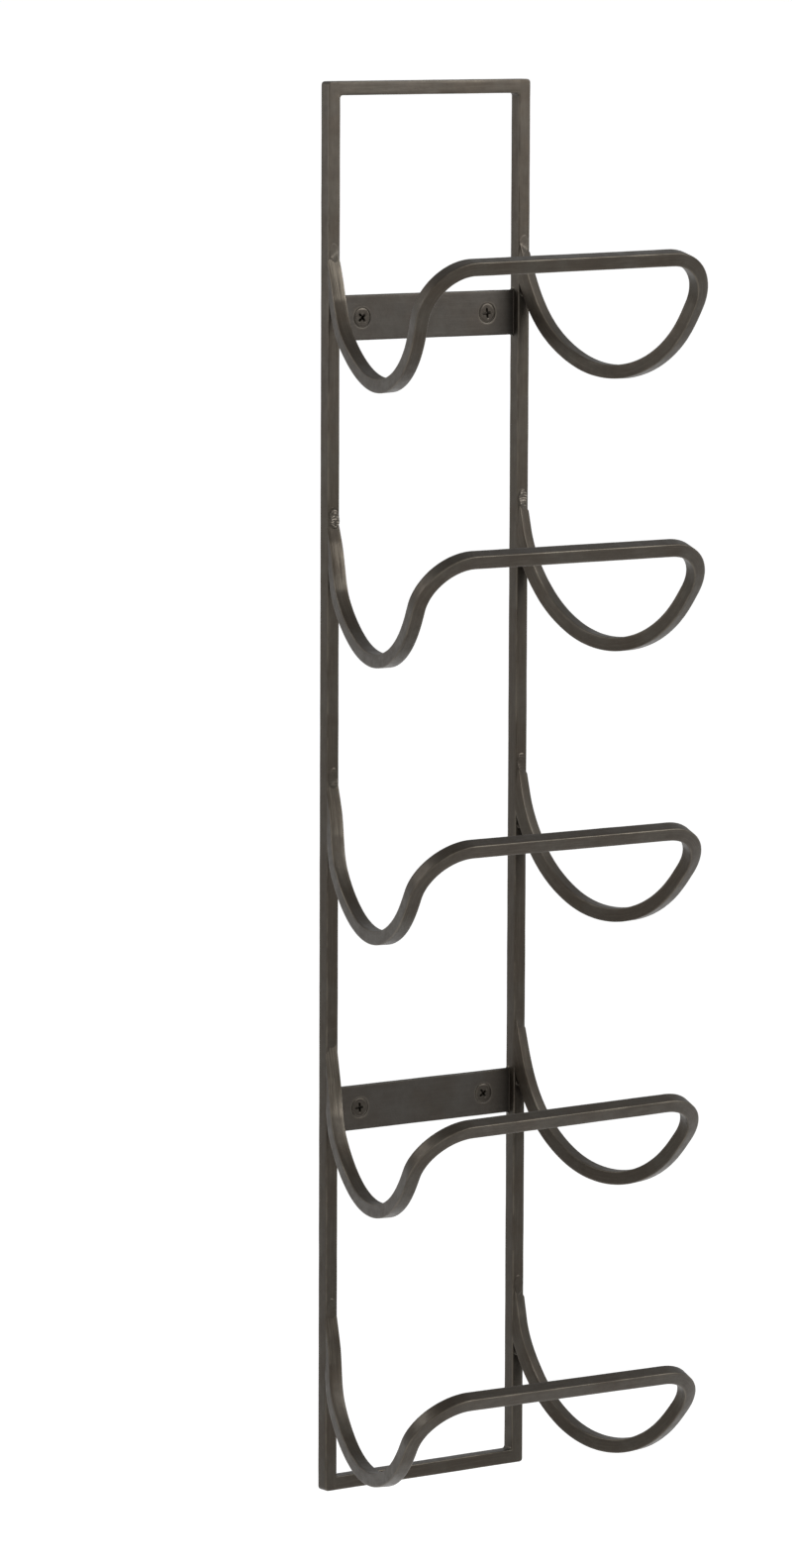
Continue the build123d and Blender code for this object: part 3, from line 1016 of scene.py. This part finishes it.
# Each slot's patina colours, its colour where worn and where a highlight is painted, its roughness
# and how streaky it is
FINISHES = {
    "bronzed_bar": (BROWN, GREY, WORN_AND_SHEEN, 0.47, 1.0),
    "bronzed_plate": (PLATE_BROWN, PLATE_GREY, WORN_AND_SHEEN, 0.50, 0.4),
    "bronzed_weld": (WELD_BROWN, WELD_GREY, WELD_WORN_AND_SHEEN, 0.38, 0.2),
    "screw_steel": (SCREW_BROWN, GREY, WORN_AND_SHEEN, 0.40, 0.0),
}
METALLIC = 0.85
LACQUER = 0.12
LACQUER_ROUGHNESS = 0.35
GROUND_POLISH = -0.10
STREAK_STRETCH = (1.0, 1.0, 0.035)
STREAK_RATE = 1700.0
STREAK_RELIEF = 0.025 * MM
FINE_RELIEF = 0.02 * MM
HAMMERED_RELIEF = 0.06 * MM


def map_range(tree, value, low, high, out_low=0.0, out_high=1.0):
    """Nodes that take a value smoothly from one range to another."""
    node = tree.nodes.new("ShaderNodeMapRange")
    node.interpolation_type = "SMOOTHSTEP"
    limits = {"From Min": low, "From Max": high, "To Min": out_low, "To Max": out_high}
    for name, number in limits.items():
        node.inputs[name].default_value = number
    tree.links.new(value, node.inputs["Value"])
    return node.outputs["Result"]


class Wiring:
    """Short hand for building one material's nodes."""

    def __init__(self, name):
        self.material = bpy.data.materials.new(name)
        self.material.use_nodes = True
        self.nodes = self.material.node_tree.nodes
        self.links = self.material.node_tree.links
        self.shader = self.nodes["Principled BSDF"]

    def attribute(self, name, output):
        node = self.nodes.new("ShaderNodeAttribute")
        node.attribute_name = name
        return node.outputs[output]

    def stretched(self, vector, scale):
        node = self.nodes.new("ShaderNodeMapping")
        node.inputs["Scale"].default_value = scale
        self.links.new(vector, node.inputs["Vector"])
        return node.outputs["Vector"]

    def noise(self, vector, scale, detail=4.0, rough=0.55):
        node = self.nodes.new("ShaderNodeTexNoise")
        node.inputs["Scale"].default_value = scale
        node.inputs["Detail"].default_value = detail
        node.inputs["Roughness"].default_value = rough
        self.links.new(vector, node.inputs["Vector"])
        return node.outputs["Fac"]

    def ramp(self, value, low, high, out_low=0.0, out_high=1.0):
        return map_range(self.material.node_tree, value, low, high, out_low, out_high)

    def mix(self, share, first, second):
        node = self.nodes.new("ShaderNodeMix")
        node.data_type = "RGBA"
        self.links.new(share, node.inputs["Factor"])
        for value, socket in ((first, node.inputs[6]), (second, node.inputs[7])):
            if isinstance(value, tuple):
                socket.default_value = (*value, 1.0)
            else:
                self.links.new(value, socket)
        return node.outputs[2]

    def math(self, operation, first, second):
        node = self.nodes.new("ShaderNodeMath")
        node.operation = operation
        for value, socket in ((first, node.inputs[0]), (second, node.inputs[1])):
            if isinstance(value, float):
                socket.default_value = value
            else:
                self.links.new(value, socket)
        return node.outputs["Value"]

    def bump(self, height, distance, under=None):
        node = self.nodes.new("ShaderNodeBump")
        node.inputs["Strength"].default_value = 1.0
        node.inputs["Distance"].default_value = distance
        self.links.new(height, node.inputs["Height"])
        if under:
            self.links.new(under, node.inputs["Normal"])
        return node.outputs["Normal"]


def toned(colour, factor):
    return tuple(channel * factor for channel in colour)


def bronze(name, brown, grey, worn_and_sheen, roughness, streaky):
    """Blackened bronze patina over steel: blotched, streaked along the bar, rubbed on edges, with
    painted highlights on the edges and weld crests.
    """
    w = Wiring(name)
    space = w.nodes.new("ShaderNodeTexCoord").outputs["Object"]
    grain = w.stretched(w.attribute("grain", "Vector"), STREAK_STRETCH)
    streaks = w.noise(grain, STREAK_RATE, 4.0, 0.6)
    ground_share = w.ramp(streaks, 0.3, 0.65, 0.45, 1.0)
    ground = w.math("MULTIPLY", w.attribute("ground", "Fac"), ground_share)
    patina = bronze_patina(w, space, streaks, brown, grey, streaky)
    colour = brighten_wear_sheen_and_grinding(w, space, ground, patina, worn_and_sheen)
    w.links.new(colour, w.shader.inputs["Base Color"])
    matt = w.ramp(w.noise(space, 240.0, 4.0, 0.6), 0.3, 0.7, roughness - 0.05, roughness + 0.07)
    polish = w.math("MULTIPLY", ground, GROUND_POLISH)
    w.links.new(w.math("ADD", matt, polish), w.shader.inputs["Roughness"])
    w.shader.inputs["Metallic"].default_value = METALLIC
    w.shader.inputs["Coat Weight"].default_value = LACQUER
    w.shader.inputs["Coat Roughness"].default_value = LACQUER_ROUGHNESS
    fine = w.bump(w.noise(space, 2600.0, 3.0, 0.6), FINE_RELIEF)
    drawn = w.bump(streaks, STREAK_RELIEF * streaky, fine)
    hammered = w.bump(w.noise(space, 380.0, 3.0, 0.5), HAMMERED_RELIEF, drawn)
    w.links.new(hammered, w.shader.inputs["Normal"])
    return w.material


def bronze_patina(w, space, streaks, brown, grey, streaky):
    """The patina's colour: brown and grey blotches, darker clouds and pale drawn streaks."""
    blotch = w.ramp(w.noise(space, 55.0, 5.0, 0.6), 0.35, 0.65)
    patina = w.mix(blotch, brown, grey)
    cloud = w.ramp(w.noise(space, 160.0, 6.0, 0.65), 0.3, 0.7, 0.0, 0.5)
    patina = w.mix(cloud, patina, toned(brown, 0.78))
    return w.mix(w.ramp(streaks, 0.45, 0.75, 0.0, 0.45 * streaky), patina, toned(grey, 1.55))


def brighten_wear_sheen_and_grinding(w, space, ground, patina, worn_and_sheen):
    """The patina, brighter on its rubbed edges and where a grinder went, and where highlights are
    painted on edges and weld crests.
    """
    scuffs = w.ramp(w.noise(space, 60.0, 4.0, 0.6), 0.35, 0.65, 0.35, 1.0)
    rub_and_sheen = w.math("MULTIPLY", w.attribute("wear_and_sheen", "Fac"), scuffs)
    # The wear share lifts the colour both for rubbed edges and for painted highlights
    colour = w.mix(w.ramp(rub_and_sheen, 0.1, 1.0, 0.0, 0.55), patina, worn_and_sheen)
    return w.mix(w.ramp(ground, 0.1, 0.9, 0.0, 0.9), colour, toned(worn_and_sheen, 1.15))


# ---------------------------------------------------------------- stage, light and camera

FLOOR_DROP = 0.45
FLOOR_HALF = 180.0
FLOOR_TONES = ((0.93, 0.93, 0.93), (0.95, 0.95, 0.95))
FLOOR_GLOW = 0.49
FLOOR_ROUGHNESS = 0.9

# The camera's place, the way it looks, and its lens and reach
CAMERA_PLACE = (-1.8171, -2.4833, 0.3420)
CAMERA_YAW = radians(36.0)
CAMERA_PITCH = radians(6.94)
CAMERA_ROLL = radians(-0.21)
CAMERA_LENS = 163.3
CAMERA_REACH = 400.0

# The sky brightens from the horizon up
SKY_START = 0.05
SKY_END = 0.55
SKY_LOW = 0.50
SKY_HIGH = 0.62

# Each lamp's place, side and power, all aimed at one place on the rack
SOFTBOXES = {
    "key_softbox": ((0.75, -1.00, 0.70), 0.8, 18.0),
    "side_softbox": ((-1.10, 0.65, 0.55), 0.8, 9.0),
    "front_softbox": ((-0.6, -1.6, 0.6), 0.9, 1.5),
}
LIGHT_TARGET = Vector((0.0, 0.0, 0.2))


def floor_material():
    """Matt, pale and faintly glowing, so that it stays plain behind the rack."""
    w = Wiring("pale_floor")
    space = w.nodes.new("ShaderNodeTexCoord").outputs["Object"]
    tone = w.mix(w.noise(space, 0.8, 3.0), *FLOOR_TONES)
    w.links.new(tone, w.shader.inputs["Base Color"])
    w.links.new(tone, w.shader.inputs["Emission Color"])
    w.shader.inputs["Emission Strength"].default_value = FLOOR_GLOW
    w.shader.inputs["Roughness"].default_value = FLOOR_ROUGHNESS
    return w.material


def make_floor():
    height = FOOT - FLOOR_DROP
    signs = [(-1, -1), (1, -1), (1, 1), (-1, 1)]
    corners = [(x * FLOOR_HALF, y * FLOOR_HALF, height) for x, y in signs]
    mesh = bpy.data.meshes.new("floor")
    mesh.from_pydata(corners, [], [(0, 1, 2, 3)])
    mesh.materials.append(floor_material())
    floor = bpy.data.objects.new("floor", mesh)
    bpy.context.scene.collection.objects.link(floor)


def make_sky():
    """White surroundings, a little brighter overhead."""
    world = bpy.data.worlds.new("studio")
    bpy.context.scene.world = world
    world.use_nodes = True
    tree = world.node_tree
    background = tree.nodes["Background"]
    background.inputs["Color"].default_value = (1, 1, 1, 1)
    split = tree.nodes.new("ShaderNodeSeparateXYZ")
    tree.links.new(tree.nodes.new("ShaderNodeTexCoord").outputs["Generated"], split.inputs[0])
    strength = map_range(tree, split.outputs["Z"], SKY_START, SKY_END, SKY_LOW, SKY_HIGH)
    tree.links.new(strength, background.inputs["Strength"])


def make_lamps():
    for name, (place, size, power) in SOFTBOXES.items():
        data = bpy.data.lights.new(name, "AREA")
        data.shape = "SQUARE"
        data.size = size
        data.energy = power
        lamp = bpy.data.objects.new(name, data)
        lamp.location = place
        lamp.rotation_euler = (LIGHT_TARGET - Vector(place)).to_track_quat("-Z", "Y").to_euler()
        bpy.context.scene.collection.objects.link(lamp)


def make_camera():
    level = Vector((sin(CAMERA_YAW), cos(CAMERA_YAW), 0.0))
    forward = level * cos(CAMERA_PITCH) - Vector((0.0, 0.0, sin(CAMERA_PITCH)))
    right = Vector((cos(CAMERA_YAW), -sin(CAMERA_YAW), 0.0))
    down = forward.cross(right)
    right_rolled = right * cos(CAMERA_ROLL) + down * sin(CAMERA_ROLL)
    down_rolled = down * cos(CAMERA_ROLL) - right * sin(CAMERA_ROLL)
    turn = Matrix((right_rolled, -down_rolled, -forward)).transposed().to_4x4()
    data = bpy.data.cameras.new("camera")
    data.lens = CAMERA_LENS
    data.clip_end = CAMERA_REACH
    camera = bpy.data.objects.new("camera", data)
    camera.matrix_world = Matrix.Translation(CAMERA_PLACE) @ turn
    bpy.context.scene.collection.objects.link(camera)
    bpy.context.scene.camera = camera


# ---------------------------------------------------------------- the rack


SLOTS = {part["node"]: part["material_slot"] for part in frame["record"]["subparts"]}
MATERIALS = {slot: bronze(slot, *finish) for slot, finish in FINISHES.items()}


def tree_of(*pieces):
    """Search tree over the final meshes of some pieces."""
    points, faces = [], []
    for piece in pieces:
        start = len(points)
        points += [vertex.co.copy() for vertex in piece.data.vertices]
        faces += [[start + i for i in face.vertices] for face in piece.data.polygons]
    return BVHTree.FromPolygons(points, faces)


def build_rack():
    uprights = {-1: make_piece("left_upright", upright(-1))}
    uprights[1] = make_piece("right_upright", upright(1))
    make_piece("top_crossbar", crossbar("top_crossbar"))
    make_piece("bottom_crossbar", crossbar("bottom_crossbar"))
    make_piece("frame_welds", frame_welds())
    for level in ("upper", "lower"):
        make_piece(level + "_wall_plate", wall_plate(level))
        make_piece(level + "_plate_welds", plate_welds(level))
        make_piece(level + "_wall_screws", wall_screws(level), roughened=False)
    for node in CRADLE_SEATS:
        shell, mitres = cradle(node)
        bar = make_piece(node, shell)
        trees = {side: tree_of(bar, uprights[side]) for side in (-1, 1)}
        welds = node.replace("bottle_cradle", "cradle_welds")
        make_piece(welds, cradle_welds(node, mitres, trees), roughened=False)


build_rack()
make_floor()
make_sky()
make_lamps()
make_camera()
bpy.context.scene.view_settings.view_transform = "Standard"
